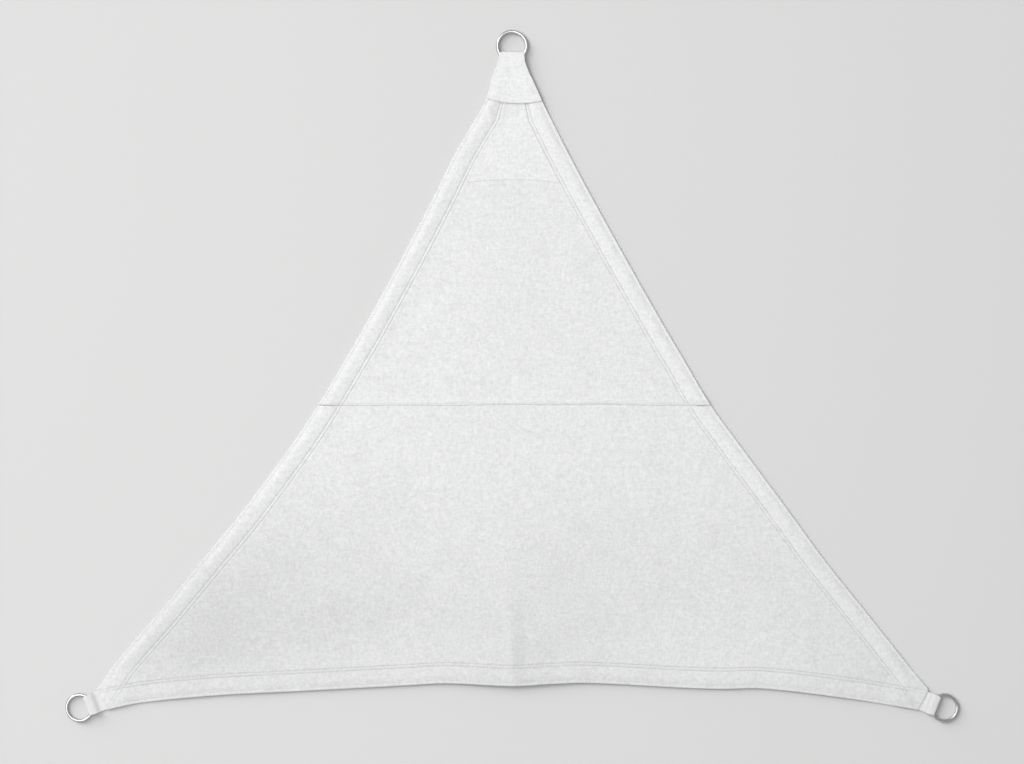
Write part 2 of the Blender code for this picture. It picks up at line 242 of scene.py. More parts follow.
def woven_cloth(name, colour, weave_mm=WEAVE_MM, contrast=1.0):
    """Matt woven polyester with slubs along both threads."""
    cloth = bpy.data.materials.new(name)
    cloth.use_nodes = True
    tree = cloth.node_tree
    shader = tree.nodes["Principled BSDF"]
    shader.inputs["Roughness"].default_value = 0.92
    shader.inputs["IOR"].default_value = 1.5
    shader.inputs["Specular IOR Level"].default_value = 0.18
    shader.inputs["Sheen Weight"].default_value = 0.12
    shader.inputs["Sheen Roughness"].default_value = 0.6
    place = add_node(tree, "ShaderNodeTexCoord").outputs["Object"]
    weave = weave_height(tree, place, weave_mm)
    layers, groove, hollow = [
        add_node(tree, "ShaderNodeAttribute", {"attribute_name": label}).outputs["Fac"]
        for label in ("layers", "groove", "hollow")
    ]
    multiply_add = {"operation": "MULTIPLY_ADD"}
    tone = add_node(tree, "ShaderNodeMath", multiply_add, {1: WEAVE_TONE * contrast, 2: 1.0}, {0: weave})
    gain = add_node(tree, "ShaderNodeMath", multiply_add, {1: LAYER_GAIN, 2: 1 - LAYER_GAIN}, {0: layers})
    # painted shade of the stitch lines and edges
    groove_darkening = add_node(tree, "ShaderNodeMath", multiply_add, {1: -GROOVE_SHADE_DEPTH, 2: 1.0}, {0: groove})
    shade = gain.outputs[0]
    # take off the broad painted shade (painted light where negative), then apply the stitch shade and the
    # weave
    for operation, other in (("SUBTRACT", hollow), ("MULTIPLY", groove_darkening.outputs[0]),
                             ("MULTIPLY", tone.outputs[0])):
        shade = add_node(
            tree, "ShaderNodeMath", {"operation": operation}, links={0: shade, 1: other}
        ).outputs[0]
    tint = add_node(
        tree, "ShaderNodeVectorMath", {"operation": "SCALE"}, {0: linear(colour)}, {"Scale": shade}
    ).outputs["Vector"]
    tree.links.new(tint, shader.inputs["Base Color"])
    bump = add_node(
        tree, "ShaderNodeBump", values={"Strength": 0.3 * contrast, "Distance": 0.0005},
        links={"Height": weave},
    )
    tree.links.new(bump.outputs["Normal"], shader.inputs["Normal"])
    return cloth


CANVAS = woven_cloth("woven_polyester_canvas", "ebebea")
WEBBING = woven_cloth("woven_polyester_webbing", "eaeae9", weave_mm=3.4, contrast=0.6)
THREAD = woven_cloth("bonded_polyester_thread", "d6d6d5", weave_mm=1.2, contrast=0.4)
print("cloths", [cloth.name for cloth in (CANVAS, WEBBING, THREAD)])

# %% [markdown]
# ## Polished steel
# The rings are round stainless bar, polished. Steel is darker and a shade warmer than chrome. It
# mirrors the room, so most of what the eye sees on it is the dark of the sides and the bright line
# of the light overhead. The drag marks of the mop, about a millimetre apart, blur that line a little.

# %% Polished stainless bar
def polished_steel(name):
    """Round stainless bar, polished, with the faint drag lines that polishing leaves."""
    steel = bpy.data.materials.new(name)
    steel.use_nodes = True
    tree = steel.node_tree
    shader = tree.nodes["Principled BSDF"]
    shader.inputs["Base Color"].default_value = (*linear("cfd0ce"), 1.0)
    shader.inputs["Metallic"].default_value = 1.0
    place = add_node(tree, "ShaderNodeTexCoord").outputs["Object"]
    drag = add_node(
        tree, "ShaderNodeTexNoise", values={"Scale": 900.0, "Detail": 3.0}, links={"Vector": place}
    ).outputs["Fac"]
    rough = add_node(
        tree, "ShaderNodeMapRange", values={"To Min": 0.15, "To Max": 0.26}, links={"Value": drag}
    ).outputs["Result"]
    tree.links.new(rough, shader.inputs["Roughness"])
    return steel


STEEL = polished_steel("polished_stainless_bar")
print("metal", STEEL.name)

# %% [markdown]
# ## Places of the pieces
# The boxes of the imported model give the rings' centres and sizes, the seam and the ends of the
# panels, so nothing is typed twice and each finer piece stays with its solid one.

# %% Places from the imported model
TOP_LOW, TOP_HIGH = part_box("top_ring")
LEFT_LOW, LEFT_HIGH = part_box("left_ring")
TOP_RING_Y = (TOP_LOW.y + TOP_HIGH.y) / 2
TOP_OUTER = (TOP_HIGH.x - TOP_LOW.x) / 2
LOWER_OUTER = (LEFT_HIGH.x - LEFT_LOW.x) / 2
LOWER_RING_Y = (LEFT_LOW.y + LEFT_HIGH.y) / 2
RING_X = -(LEFT_LOW.x + LEFT_HIGH.x) / 2
SEAM_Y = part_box("upper_panel")[0].y
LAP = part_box("lower_panel")[1].y - SEAM_Y
TUCK_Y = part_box("upper_panel")[1].y         # where the upper panel ends, under the cap
CLOTH = 1.5 * MM
GAP = 0.3 * MM
print("seam at", round(SEAM_Y, 3), "lap", round(LAP, 3))
print("rings", round(RING_X, 3), round(LOWER_RING_Y, 3), round(TOP_RING_Y, 3))

# %% [markdown]
# ## The pattern
# A sail maker cuts the panels to a pattern with hollow edges, so that the cloth pulls flat when it is
# hung. Short tables give the edges in millimetres. The two sides aren't quite alike, as on any sewn
# sail, and the lower corners end square.

# %% Tables of the edges
LEFT, RIGHT = 1, 2          # columns of the side table
CORNER_Y = -725 * MM        # the sides run straight from here to the square ends

SIDE_EDGES = (
    # y, left x, right x
    (688, -36, 40),
    (640, -58, 68),
    (520, -128, 129),
    (420, -178, 182),
    (270, -256, 265),
    (120, -338, 350),
    (30, -390, 403),
    (-68, -449, 461),
    (-160, -510, 528),
    (-310, -621, 639),
    (-426, -716, 724),
    (-536, -807, 812),
    (-658, -912, 909),
    (-725, -961, 963),
)
LOWER_EDGE = (
    # x, y
    (-938, -772), (-857, -756), (-685, -739), (-493, -729), (-248, -716),
    (-152, -711), (2, -717), (98, -712), (174, -710), (391, -721),
    (485, -724), (580, -723), (769, -745), (938, -772),
)
print("side edges", len(SIDE_EDGES), "places, lower edge", len(LOWER_EDGE), "places")

# %% [markdown]
# ## Smooth curves
# A table could be joined by straight lines, but cloth under tension has no corners. A cubic between
# each two rows, with slopes taken from their neighbours, passes through every row and stays smooth.
# The ease function is the same idea between 0 and 1, and fades one shape into another.

# %% Curves through a table
def curve_through(rows, column, at):
    """Smooth curve through one column of a table in millimetres, run on straight past both ends."""
    pairs = np.array(sorted((row[0], row[column]) for row in rows)) * MM
    knots, values = pairs[:, 0], pairs[:, 1]
    slopes = np.empty(len(knots))
    slopes[1:-1] = (values[2:] - values[:-2]) / (knots[2:] - knots[:-2])
    slopes[0] = (values[1] - values[0]) / (knots[1] - knots[0])
    slopes[-1] = (values[-1] - values[-2]) / (knots[-1] - knots[-2])
    inside = np.clip(at, knots[0], knots[-1])
    index = np.clip(np.searchsorted(knots, inside) - 1, 0, len(knots) - 2)
    span = knots[index + 1] - knots[index]
    t = (inside - knots[index]) / span
    rise = values[index] + (values[index + 1] - values[index]) * t * t * (3 - 2 * t)
    bend = span * t * (1 - t) * ((1 - t) * slopes[index] - t * slopes[index + 1])
    past = np.where(at < knots[0], (at - knots[0]) * slopes[0], 0.0)
    past = past + np.where(at > knots[-1], (at - knots[-1]) * slopes[-1], 0.0)
    return rise + bend + past


def ease(value):
    value = np.clip(value, 0.0, 1.0)
    return value * value * (3 - 2 * value)


print("middle of the left edge", round(float(curve_through(SIDE_EDGES, LEFT, 0.0)), 3))

# %% [markdown]
# ## Edges of the sail
# Every edge is a line x(y) or y(x). A hem keeps its width square to its edge, so on a slanting edge
# the width along an axis is longer by the slope, and stretch_of says by how much.

# %% Edge lines
SLOPE_STEP = 5 * MM


def side_line(side, y):
    """A side edge, run on straight past the corner."""
    return curve_through(SIDE_EDGES, side, y)


def lower_line(x):
    return curve_through(LOWER_EDGE, 1, x)


def side_x(side, y):
    """A side edge with the square end of the lower corner."""
    end_x, end_y = (LOWER_EDGE[0] if side == LEFT else LOWER_EDGE[-1])
    corner_x = side_line(side, CORNER_Y)
    share = np.clip((CORNER_Y - y) / (CORNER_Y - end_y * MM), 0.0, 1.0)
    return np.where(y >= CORNER_Y, side_line(side, y), corner_x + (end_x * MM - corner_x) * share)


def inward(side):
    """Direction along X from a side edge into the sail."""
    return 1 if side == LEFT else -1


def stretch_of(line, at):
    """How much longer a distance square to a line is when it is measured along an axis."""
    slope = (line(at + SLOPE_STEP) - line(at - SLOPE_STEP)) / (2 * SLOPE_STEP)
    return np.sqrt(1 + slope * slope)


print("width at the seam", round(float(side_x(RIGHT, SEAM_Y) - side_x(LEFT, SEAM_Y)), 3))

# %% [markdown]
# ## Section of a hem
# From the edge inwards a hem has a narrow flat fold, a crease, a soft crown where the turned-in
# cloth fills it, and two rows of stitches that pull it down. One table gives that section. The grid's
# columns stand at the stations of a second list, close together at the creases and stitches. Near
# the top corner two full hems don't fit side by side, so both are narrowed there.

# %% Section of a hem
HEM_SHAPE = (
    # distance from the edge, height
    (0.0, 2.0), (0.8, 3.5), (2.4, 4.3), (4.4, 4.2), (6.2, 3.4), (8.0, 4.1),
    (12.0, 5.2), (18.0, 6.0), (24.0, 5.5), (30.0, 4.7), (36.0, 3.6), (39.4, 2.6),
    (41.0, 1.6), (42.8, 2.5), (44.5, 2.8), (46.3, 2.4), (48.0, 1.4), (49.8, 2.2),
    (53.0, 2.2), (58.0, 1.7), (66.0, 1.5),
)
HEM_STATIONS = (0, 0.8, 2.4, 4.4, 6.2, 8, 10, 12, 15, 18, 21, 24, 27, 30, 33, 36, 38, 39.4, 40.2, 41,
                41.8, 42.8, 44.5, 46.3, 47.2, 48, 48.8, 49.8, 51.4, 53, 58, 66)
HEM_WIDTH = HEM_STATIONS[-1] * MM
STITCH_ROWS = (41 * MM, 48 * MM)        # in a hem, from the edge
LAP_ROWS = (4.5 * MM,)                  # on a lapped edge
HEM_REACH = 80 * MM                     # puckers fade out by here
HEMS_FILL = 0.86                        # most of the sail's width that the two hems may take


def hem_share(y):
    """Share of a full hem that fits on each side, less than 1 near the top corner."""
    half = (side_x(RIGHT, y) - side_x(LEFT, y)) / 2
    full = HEM_WIDTH * stretch_of(lambda v: side_line(LEFT, v), y)
    return np.minimum(1.0, half * HEMS_FILL / full)


def hem_scale(side, y):
    """Length along X of a distance of 1 across a hem."""
    return stretch_of(lambda v: side_line(side, v), y) * hem_share(y)


def from_side(side, x, y):
    """Distance into the sail, across a side hem."""
    return inward(side) * (x - side_line(side, y)) / hem_scale(side, y)


def from_foot(x, y):
    """Distance into the sail from the lower edge."""
    return (y - lower_line(x)) / stretch_of(lower_line, x)


print("hem", len(HEM_STATIONS), "stations over", HEM_STATIONS[-1], "mm")

# %% [markdown]
# ## Folds and painted shade
# The panels carry a few long soft folds, which are the same as those of the solid model. Cloth that
# stands off the surface is also darkened with painted shade, more than its slope alone shades it, and
# in places lightened with painted light. A second table of soft ovals gives that painted tone,
# negative where it is painted light; its largest oval darkens the whole lower part of the sail.
# The seam wanders a millimetre or so, because the cloth is fed by hand.

# %% Folds, painted shade and the seam
FOLDS = (
    # x, y, half length, half width, turn, height
    (5, -640, 230, 150, 90, 5.0),
    (5, -650, 150, 14, 90, 1.5),
    (-770, -490, 210, 60, 129, 5.0),
    (-60, 230, 260, 110, 80, 2.5),
    (330, -380, 260, 140, 20, 2.0),
)
FOLD_FLOOR = 0.3 * MM       # lower than this, a fold lies flat
BROAD_SHADES = (
    # x, y, half length, half width, turn, share of painted shade, negative for painted light
    (0, -700, 1500, 330, 0, 0.085),
    (-640, -520, 260, 110, 45, 0.095),
    (12, -645, 120, 14, 92, 0.06),
    (-14, -640, 120, 12, 92, -0.025),
    (150, -400, 170, 110, 20, 0.025),
    (50, -640, 90, 60, 90, 0.02),
    (480, -640, 240, 120, 0, -0.05),
    (-400, -560, 200, 100, 20, 0.055),
    (-745, -640, 120, 80, 20, 0.03),
    (-330, -330, 140, 90, 40, 0.02),
    (-250, -640, 170, 60, 0, -0.025),
)


def soft_sum(spots, x, y):
    """Sum of smooth oval swellings: x, y, half length, half width, turn, amount."""
    total = np.zeros(np.shape(x))
    for spot_x, spot_y, half_length, half_width, turn, amount in spots:
        dx, dy = x - spot_x * MM, y - spot_y * MM
        c, s = math.cos(math.radians(turn)), math.sin(math.radians(turn))
        along = (dx * c + dy * s) / (half_length * MM)
        across = (dx * s - dy * c) / (half_width * MM)
        total = total + amount * np.exp(-along ** 2 - across ** 2)
    return total


def fold_lift(x, y):
    return np.maximum(0.0, soft_sum(FOLDS, x, y) * MM - FOLD_FLOOR)


def seam_line(x):
    """The seam is straight but for the slight wander of hand feeding."""
    wander = 1.1 * np.sin(x / (118 * MM) + 0.6) + 0.6 * np.sin(x / (37 * MM) + 2.0)
    return SEAM_Y + wander * MM


# Painted shade of the soft ovals, and painted light where their amount is negative.
def hollow(x, y):
    return soft_sum(BROAD_SHADES, x, y)


print("highest fold", round(float(fold_lift(5 * MM, -640 * MM)) / MM, 1), "mm")

# %% [markdown]
# ## Puckers
# A needle gathers the cloth a little at each stitch, and the feed of the machine pushes one layer
# ahead of the other. So puckers run across a hem, slanted and uneven. A sum of sines with seeded
# lengths and slants gives that and comes out the same each time, where a noise texture would shape
# only the shading.

# %% Relief of a hem
def ripple(along, across, seed, longest=46 * MM, shortest=11 * MM, waves=9):
    """Uneven slanted waves, about -1 to 1."""
    rng = np.random.default_rng(seed)
    total = np.zeros(np.shape(along))
    for _ in range(waves):
        length = rng.uniform(shortest, longest)
        phase, slant = rng.uniform(0, 2 * math.pi), rng.uniform(-0.7, 0.7)
        total = total + np.sin(2 * math.pi * (along + slant * across) / length + phase)
    return total / math.sqrt(waves / 2) / 1.6


def line_at(value, place, half_width):
    """1 on a line, falling smoothly to 0 beside it."""
    return np.exp(-((value - place) / half_width) ** 2)


def hem_relief(distance, along, seed, crown=1.0):
    """Height of a hem over its underside, less one layer, at a distance from the edge."""
    base = curve_through(HEM_SHAPE, 1, np.clip(distance, 0.0, HEM_WIDTH)) - CLOTH
    puffed = ease((distance - 7 * MM) / (8 * MM)) * ease((41 * MM - distance) / (12 * MM))
    uneven = 0.16 * puffed * ripple(along, distance, seed, 240 * MM, 70 * MM)
    pucker = 0.34 * MM * ripple(along, distance, seed + 1)
    beside = ease((distance - 48 * MM) / (5 * MM)) * ease((HEM_REACH - distance) / (28 * MM))
    return base * np.where(base > 0, crown, 1) * (1 + uneven) + pucker * (puffed + 0.4 * beside)


print("crown of a hem", round(float(hem_relief(18 * MM, 0.0, 3) + CLOTH) / MM, 1), "mm")

# %% [markdown]
# ## Face of the hems
# The crown of a side hem flattens towards a lower corner, where the layers of the tab press it, and
# the lower hem fades in there. Where two hems cross, their heights are joined like the sides of a
# right angle, which keeps the crossing soft instead of doubling it.

# %% Height of the hems
TAB_TURN = math.radians(21.7)           # the tabs point up into the sail by this much


def ring_distance(x, y):
    """Distance from the nearer lower ring, along its tab's line, and across that line."""
    side = np.where(x < 0, -1.0, 1.0)
    dx, dy = x - side * RING_X, y - LOWER_RING_Y
    along = -side * dx * math.cos(TAB_TURN) + dy * math.sin(TAB_TURN)
    across = side * dx * math.sin(TAB_TURN) + dy * math.cos(TAB_TURN)
    return along, across


def hem_heights(x, y, bottom_hem):
    """Height of the cloth's face over its underside, with the hems in it."""
    total = np.zeros(np.shape(x))
    along_ring, _ = ring_distance(x, y)
    fade = 0.35 + 0.65 * ease((along_ring - 85 * MM) / (60 * MM))
    for side, seed in ((LEFT, 3), (RIGHT, 17)):
        distance = from_side(side, x, y)
        rise = hem_relief(distance, y * 1.2, seed, fade)
        total = total + np.where(distance < HEM_REACH, rise, 0.0)
    if bottom_hem:
        distance = from_foot(x, y)
        rise = hem_relief(distance, x, 29, 0.8) * ease((along_ring - 40 * MM) / (60 * MM))
        raised = np.hypot(np.maximum(total, 0), np.maximum(rise, 0))
        lowered = np.minimum(total, 0) + np.minimum(rise, 0)
        total = np.where(distance < HEM_REACH, raised + lowered, total)
    return np.maximum(total + CLOTH, 0.7 * MM)


print("face on the left crown", round(float(hem_heights(side_line(LEFT, 0.0) + 0.02, 0.0, False)), 4))

# %% [markdown]
# ## Painted shade of the stitch lines, and layers
# A pulled-down stitch line is painted darker than its slope alone would shade it: painted shade,
# which partly also stands for the thread in it. These two functions give that painted shade and the
# layers attribute of the canvas. The right hem's rows are fainter than the left's, and both get
# fainter towards the top.

# %% Stitch lines and layers
GROOVE_HALF = 1.3 * MM
HEM_EDGE = 52 * MM          # where the turned-in cloth ends


def edge_grooves(x, y, bottom_hem):
    """Painted shade: 1 in the pulled-down line of a row of stitches, 0 away from it."""
    total = np.zeros(np.shape(x))
    near_top = 1 - 0.5 * ease((y - 380 * MM) / (160 * MM))
    for row in STITCH_ROWS:
        for side, depth in ((LEFT, 0.7), (RIGHT, 0.5)):
            line = depth * near_top * line_at(from_side(side, x, y), row, GROOVE_HALF)
            total = np.maximum(total, line)
        if bottom_hem:
            total = np.maximum(total, 0.6 * line_at(from_foot(x, y), row, GROOVE_HALF))
    return total


def extra_layers(x, y):
    """1 where a side hem lies under the face, 0 on a single layer."""
    nearer = np.minimum(from_side(LEFT, x, y), from_side(RIGHT, x, y))
    return ease((HEM_EDGE - nearer) / (3 * MM))


print("groove on a stitch row", round(float(edge_grooves(
    side_line(LEFT, 0.0) + STITCH_ROWS[0] * hem_scale(LEFT, 0.0), 0.0, False)), 2))

# %% [markdown]
# ## Heights of the panels
# Each panel has an underside and a face. The upper one steps over the lap at the seam and over the
# cap's back leg at the top. The lower one is a single thin layer where the upper one laps it, stands
# on the tongues of the tabs at its corners, and its rolled lower edge stands off the surface.

# %% Heights of the panels
FOOT_LIFT = 2.6 * MM        # how far the rolled lower edge stands off the surface


def corner_lift(x, y):
    """How far a tab's tongue holds a lower corner up."""
    along, across = ring_distance(x, y)
    near = ease((150 * MM - along) / (50 * MM))
    return 2 * (CLOTH + GAP) * near * ease((48 * MM - abs(across)) / (24 * MM))


def foot_lift(x, y):
    """How far the rolled lower edge holds the cloth up, away from the corners."""
    along_ring, _ = ring_distance(x, y)
    clear = ease((along_ring - 90 * MM) / (160 * MM))
    return FOOT_LIFT * clear * line_at(y - lower_line(x), 0.0, 75 * MM)


def lower_heights(x, y):
    """Underside and face of the lower panel."""
    past_seam = ease((seam_line(x) - 0.4 * MM - y) / (2.6 * MM))
    slow = ease((seam_line(x) - y) / (60 * MM))
    low = (fold_lift(x, y) + corner_lift(x, y)) * slow + foot_lift(x, y)
    return low, low + CLOTH + (hem_heights(x, y, True) - CLOTH) * past_seam


def upper_heights(x, y):
    """Underside and face of the upper panel."""
    over_lap = ease((SEAM_Y + LAP + 22 * MM - y) / (20 * MM))
    over_cap = ease((y - TOP_RING_Y + 170 * MM) / (36 * MM))
    low = fold_lift(x, y) * (1 - over_lap) * (1 - over_cap) + (CLOTH + GAP) * (over_lap + over_cap)
    past_seam = y - seam_line(x)
    dip = sum(line_at(past_seam, row, 2.2 * MM) for row in LAP_ROWS)
    rounded = 0.9 * MM * (1 - ease(past_seam / (1.6 * MM)))
    return low, low + hem_heights(x, y, False) - 0.3 * MM * dip - rounded


print("step at the seam", round(float(upper_heights(0.0, SEAM_Y + 0.01)[1]), 4))

# %% [markdown]
# ## Sheets from a grid
# A panel starts as a flat grid. Its columns are set closer together in the hems, where the stitches
# are, and it is laid between the edges of the pattern. Solidify gives it an underside, and then the
# two sides are set to their own heights, so that the hem is as thick as its folded layers. Cloth
# simulation could lay the panels too, but it would lose the hems, whose section is known.

# %% Points of a sheet
CREASE_ANGLE = math.radians(50)


def read_points(piece):
    points = np.empty(len(piece.data.vertices) * 3)
    piece.data.vertices.foreach_get("co", points)
    return points.reshape(-1, 3)


def move_points(piece, chosen, x, y, z):
    points = read_points(piece)
    points[chosen] = np.stack([x, y, z], 1)
    piece.data.vertices.foreach_set("co", points.ravel())
    piece.data.update()


def flat_grid(name, columns, rows):
    """A grid, and the column and row number of each of its points."""
    deselect_all()
    bpy.ops.mesh.primitive_grid_add(x_subdivisions=columns, y_subdivisions=rows, size=2.0)
    piece = bpy.context.object
    piece.name = name
    piece.data.name = name
    across, up = (read_points(piece)[:, :2].T + 1) / 2
    return piece, np.rint(across * columns).astype(int), np.rint(up * rows).astype(int)


def add_underside(piece):
    """Give a sheet its second side. Its points follow those of the face, in the same order."""
    solid = piece.modifiers.new("thickness", "SOLIDIFY")
    solid.thickness = CLOTH
    solid.offset = -1.0
    bpy.ops.object.modifier_apply(modifier=solid.name)


def finish_sheet(piece, material, **marks):
    """Store each mark at the points of the face and at those under them, and add the cloth."""
    for label, shown in marks.items():
        data = piece.data.attributes.new(label, "FLOAT", "POINT").data
        data.foreach_set("value", np.concatenate([shown, shown]).astype(np.float32))
    piece.data.materials.append(material)
    bpy.ops.object.shade_smooth_by_angle(angle=CREASE_ANGLE)
    print(piece.name, len(piece.data.polygons), "faces")
    return piece


print("crease angle", round(math.degrees(CREASE_ANGLE)))

# %% [markdown]
# ## Laying a panel
# Both panels use the same two steps. The first runs the columns from the left edge to the right one:
# the stations of the left hem, an even middle, and the stations of the right hem. The second builds
# the closed sheet from any rule that gives a point's place, underside and face.

# %% Columns and closed sheets
def across_sail(y, index, middle):
    """X of a column at a height: hem stations on both sides and an even middle."""
    stations = np.array(HEM_STATIONS) * MM
    last = len(stations) - 1
    left_hem, right_hem = hem_scale(LEFT, y), hem_scale(RIGHT, y)
    left, right = side_x(LEFT, y), side_x(RIGHT, y)
    inner_left, inner_right = left + left_hem * HEM_WIDTH, right - right_hem * HEM_WIDTH
    from_left = left + left_hem * stations[np.minimum(index, last)]
    from_right = right - right_hem * stations[np.clip(2 * last + middle - index, 0, last)]
    between = inner_left + (inner_right - inner_left) * (index - last) / middle
    return np.where(index <= last, from_left, np.where(index >= last + middle, from_right, between))


def closed_grid(name, columns, rows, place, layers, groove):
    """A closed sheet of canvas: place(column, row) gives x, y, underside and face of each point."""
    piece, column, row = flat_grid(name, columns, rows)
    x, y, low, high = place(column, row)
    total = len(x)
    move_points(piece, slice(0, total), x, y, high)
    add_underside(piece)
    move_points(piece, slice(total, 2 * total), x, y, low)
    return finish_sheet(piece, CANVAS, layers=layers(x, y), groove=groove(x, y), hollow=hollow(x, y))


HEM_COLUMNS = 2 * (len(HEM_STATIONS) - 1)
print("columns in the two hems", HEM_COLUMNS)

# %% [markdown]
# ## Upper panel
# The upper panel laps over the lower one at the seam. Its raw edge is turned under there, so it ends
# rounded, with one row of stitches close above it. It throws a thin shadow, which a line of painted
# shade along the edge deepens, with a fainter, wider band of painted shade above it.

# %% Upper panel
UPPER_MIDDLE = 72           # columns between the hems
NEAR_SEAM = np.array((0, 0.5, 1.2, 2.2, 3.2, 5, 7, 8.5, 10, 13, 18, 24, 30)) * MM
UPPER_ROWS = np.concatenate([SEAM_Y + NEAR_SEAM, np.linspace(SEAM_Y + 34 * MM, TUCK_Y, 150)])


def upper_place(column, row):
    y = UPPER_ROWS[row]
    x = across_sail(y, column, UPPER_MIDDLE)
    y = y + (seam_line(x) - SEAM_Y) * ease((SEAM_Y + 60 * MM - y) / (60 * MM))
    return (x, y, *upper_heights(x, y))


def upper_groove(x, y):
    past_seam = y - seam_line(x)
    # painted shade: a thin dark line at the lapped edge and a faint wider band above it
    edge = line_at(past_seam, 0.0, 1.1 * MM) + 0.22 * line_at(past_seam, 0.0, 8 * MM)
    return np.maximum(edge_grooves(x, y, False), edge)


def upper_layers(x, y):
    """The lap counts as an extra layer, as the hems do."""
    return np.maximum(extra_layers(x, y), ease((SEAM_Y + LAP - y) / (2 * MM)))


upper = closed_grid("canvas_upper", HEM_COLUMNS + UPPER_MIDDLE, len(UPPER_ROWS) - 1, upper_place,
                    upper_layers, upper_groove)
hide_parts("upper_panel")

# %% [markdown]
# ## Lower panel
# The lower panel has a hem on three sides. Its rows follow the straight seam at the top and the
# hollow edge at the bottom, so they spread like the leaves of a fan between the two. The lower edge
# is a function of x, and x depends on y through the slanting sides, so the places are found by
# going round a few times until they settle.

# %% Lower panel
LOWER_MIDDLE = 132
LOWER_STEPS = 112           # rows between the lap and the lower hem
SETTLE = 14                 # rounds until the places settle
WANDER_SHARE = 0.2          # share of those rows that still follow the seam's wander
LAP_TOP = np.array((LAP / MM, 9, 0.2, -0.6, -1.3, -2.2, -3.2, -5, -8, -12)) * MM
LOWER_ROW_COUNT = len(LAP_TOP) + LOWER_STEPS + len(HEM_STATIONS) - 1


def lower_place(column, row):
    """Rows follow the seam at the top and the lower edge at the bottom."""
    stations = np.array(HEM_STATIONS) * MM
    first = SEAM_Y + LAP_TOP[-1]
    down = LOWER_ROW_COUNT - row
    top = SEAM_Y + LAP_TOP[np.clip(down, 0, len(LAP_TOP) - 1)]
    step = np.clip((down - len(LAP_TOP) + 1) / (LOWER_STEPS + 1), 0.0, 1.0)
    in_hem = stations[np.clip(row, 0, len(stations) - 1)]
    y = np.where(down < len(LAP_TOP), top, SEAM_Y - 0.1)
    for _ in range(SETTLE):
        x = across_sail(y, column, LOWER_MIDDLE)
        base = lower_line(x) + in_hem * stretch_of(lower_line, x)
        wander = (seam_line(x) - SEAM_Y) * ease((WANDER_SHARE - step) / WANDER_SHARE)
        y = np.where(down < len(LAP_TOP), top, first + (base - first) * step) + wander
    return (x, y, *lower_heights(x, y))


def lower_groove(x, y):
    return edge_grooves(x, y, True) * (y < seam_line(x))


lower = closed_grid("canvas_lower", HEM_COLUMNS + LOWER_MIDDLE, LOWER_ROW_COUNT, lower_place,
                    extra_layers, lower_groove)
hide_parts("lower_panel")

# %% [markdown]
# ## Patch
# The patch is a second layer sewn on at the top corner, from hem to hem, so that the pull of the ring
# spreads into the panel. Its lower edge is arched and turned under. It is a grid laid on the upper
# panel's own face, which keeps it in touch everywhere.

# %% Patch
PATCH_LOW_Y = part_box("apex_patch")[0].y
PATCH_TOP_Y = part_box("apex_patch")[1].y + 14 * MM    # tucked further under the cap
PATCH_ARCH = 7 * MM
PATCH_INSET = 50.5 * MM     # from the sail's edge, so that it ends at the hems
PATCH_CLOTH = 0.8 * MM
PATCH_COLUMNS = 48
PATCH_ROWS = np.concatenate([np.array((0, 0.5, 1.2, 2.2, 3.2, 5, 7, 8.5, 10, 13)) * MM,
                             np.linspace(17 * MM, PATCH_TOP_Y - PATCH_LOW_Y, 40)])


def patch_edge(side, y):
    return side_line(side, y) + inward(side) * PATCH_INSET * hem_scale(side, y)


def patch_place(column, row):
    across = 2 * column / PATCH_COLUMNS - 1
    arch = PATCH_ARCH * (1 - across * across)
    rise = PATCH_ROWS[row]
    y = PATCH_LOW_Y + rise + arch * (1 - rise / PATCH_ROWS[-1])
    left, right = patch_edge(LEFT, y), patch_edge(RIGHT, y)
    x = left + (right - left) * column / PATCH_COLUMNS
    low = upper_heights(x, y)[1] + 0.15 * MM
    dip = sum(line_at(rise, place, 1.6 * MM) for place in LAP_ROWS)
    rounded = 0.35 * MM * (1 - ease(rise / (1.4 * MM)))
    return x, y, low, low + PATCH_CLOTH - 0.3 * MM * dip - rounded


def patch_layers(x, y):
    return np.ones(len(x))


def patch_groove(x, y):
    left, right = patch_edge(LEFT, y), patch_edge(RIGHT, y)
    across = (x - left) / (right - left) * 2 - 1
    rise = y - PATCH_LOW_Y - PATCH_ARCH * (1 - across * across)
    # painted shade along the patch's turned-under lower edge
    return 0.75 * line_at(rise, 0.0, 1.5 * MM)


patch = closed_grid("canvas_patch", PATCH_COLUMNS, len(PATCH_ROWS) - 1, patch_place,
                    patch_layers, patch_groove)
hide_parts("apex_patch")

# %% [markdown]
# ## Strips folded over a ring
# The cap and the tabs are alike: a strip goes over the bar of a ring, round it and back underneath.
# One function gives the middle line of such a strip as seen from the side, with a front leg, a rise
# to the bar, a half turn round it and a back leg. A second sweeps the line into a closed strip. Its
# thickness is set square to the line, so that it stays even round the bar.

# %% Middle line of a folded strip
BAR_ROOM = 0.7 * MM         # between the bar and the cloth


def loop_line(outer, wire, fold, front_end, back_end, meet, rest, steps):
    """Rows of distance from the ring, height, and share of the way from meet to the front's end."""
    room = wire + BAR_ROOM
    radius = room + CLOTH / 2
    centre = fold + CLOTH + room
    level = CLOTH + room
    crest = outer - wire - 1 * MM
    rows = [(front_end + (meet - front_end) * t, rest, 1.0 - t) for t in np.linspace(0, 1, steps[0])]
    for t in np.linspace(0, 1, steps[1])[1:]:
        rows.append((meet + (crest - meet) * t, rest + (level + radius - rest) * float(ease(t)), 0.0))
    for angle in np.linspace(math.pi / 2, 3 * math.pi / 2, steps[2]):
        rows.append((centre + radius * math.cos(angle), level + radius * math.sin(angle), 0.0))
    for t in np.linspace(0, 1, steps[3])[1:]:
        rows.append((centre + (back_end - centre) * t, CLOTH / 2, 0.0))
    return np.array(rows)


